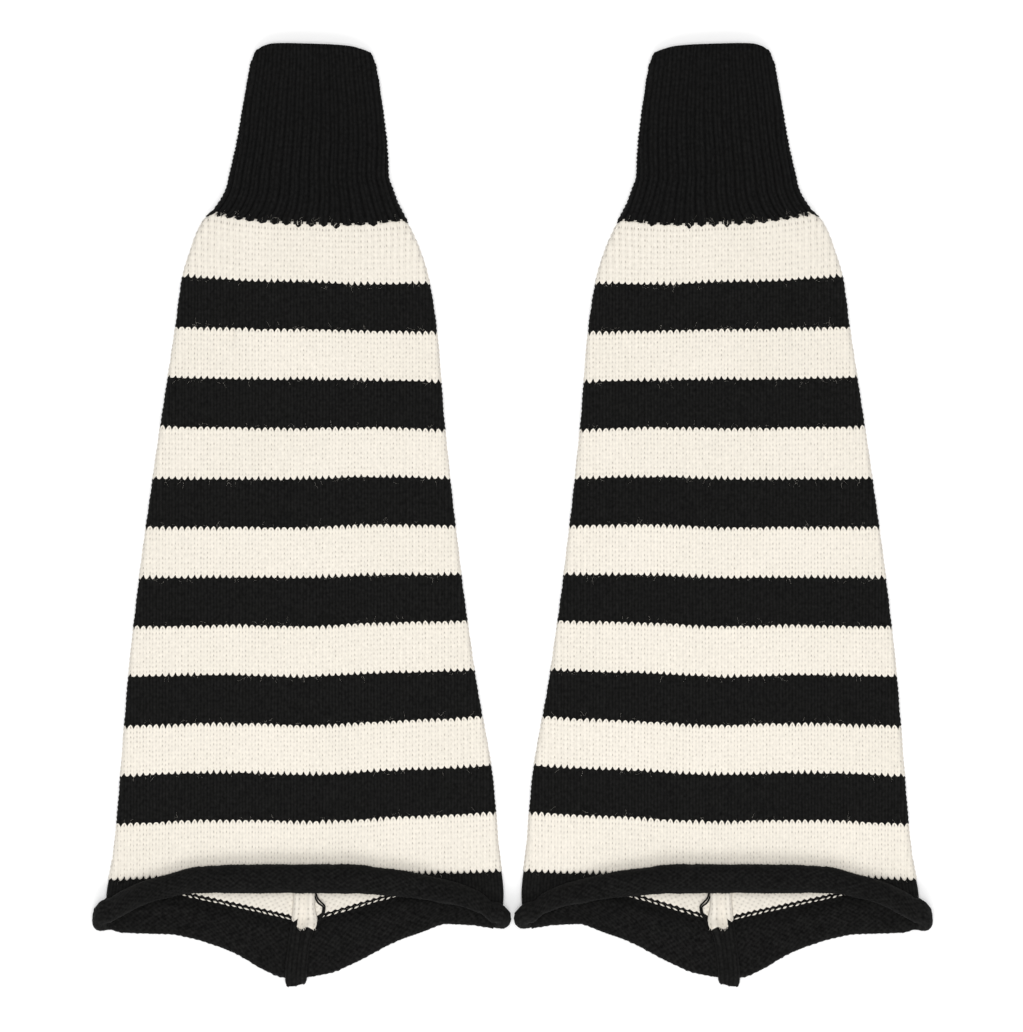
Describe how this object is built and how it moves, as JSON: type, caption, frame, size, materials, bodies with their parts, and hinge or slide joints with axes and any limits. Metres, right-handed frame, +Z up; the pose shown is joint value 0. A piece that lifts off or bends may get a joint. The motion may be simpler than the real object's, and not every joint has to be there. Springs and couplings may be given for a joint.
{
  "type": "pair of striped flared knit leg warmers, laid flat",
  "caption": "Flared knit leg warmers laid flat side by side: ribbed cuff, striped tapered tube and a hem whose edge curls outwards; worn between knee and shoe for warmth.",
  "frame": {"origin": "middle of the pair's box at the surface that it lies on", "axes": "+Y along the leg warmers towards the ribbed cuffs, +X to the right seen from above, +Z up off the surface"},
  "size_m": [0.4192, 0.4704, 0.02],
  "materials": {
    "black_rib": "matt black 1x1 rib knit with a faint halo of fibre",
    "striped_knit": "matt plain knit in warm white with black stripes knitted in",
    "black_hem": "matt black plain knit, purl side showing on the curl",
    "seam_yarn": "knitted edges turned in at the back seam, warm white above and black in the hem"
  },
  "bodies": {
    "root": {"left_cuff": "black_rib", "left_body": "striped_knit", "left_hem": "black_hem", "left_seam": "seam_yarn", "right_cuff": "black_rib", "right_body": "striped_knit", "right_hem": "black_hem", "right_seam": "seam_yarn"}
  },
  "joints": []
}
